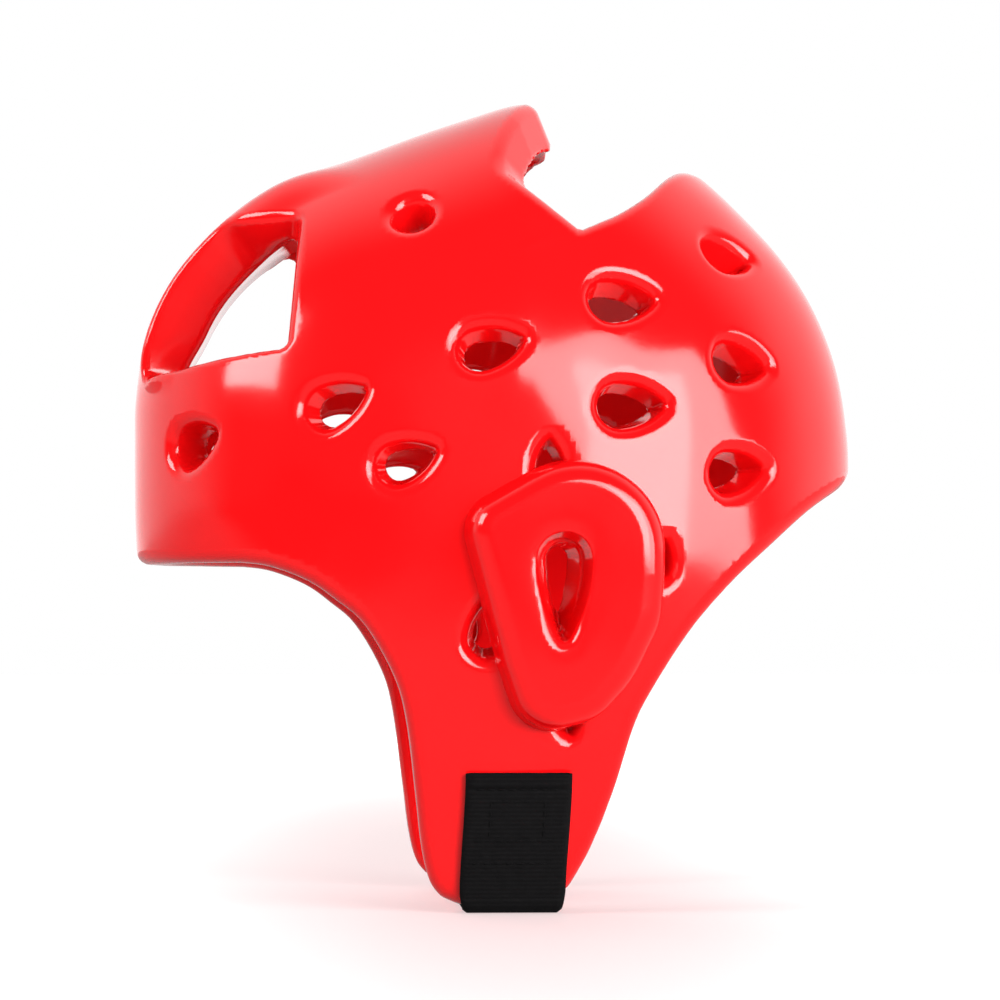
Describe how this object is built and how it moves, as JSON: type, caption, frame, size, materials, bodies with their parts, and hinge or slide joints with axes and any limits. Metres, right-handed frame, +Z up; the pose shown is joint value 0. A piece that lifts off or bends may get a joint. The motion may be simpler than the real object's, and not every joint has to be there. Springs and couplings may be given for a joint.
{
  "type": "taekwondo headgear",
  "caption": "Padded foam head guard with open crown, front windows, teardrop vents, raised ear pads with sound holes and an elastic chin strap, standing on the strap.",
  "frame": {"origin": "middle of the base, on the flat underside of the chin strap", "axes": "+Z up from the chin to the crown, -Y the way the face looks, +X towards the wearer's left ear"},
  "size_m": [0.2154, 0.2513, 0.2792],
  "materials": {
    "foam_skin": "glossy dipped vinyl skin over soft foam",
    "elastic": "matte black woven elastic webbing"
  },
  "bodies": {
    "root": {"shell": "foam_skin", "ear_pad_left": "foam_skin", "ear_pad_right": "foam_skin", "chin_strap": "elastic"}
  },
  "joints": []
}
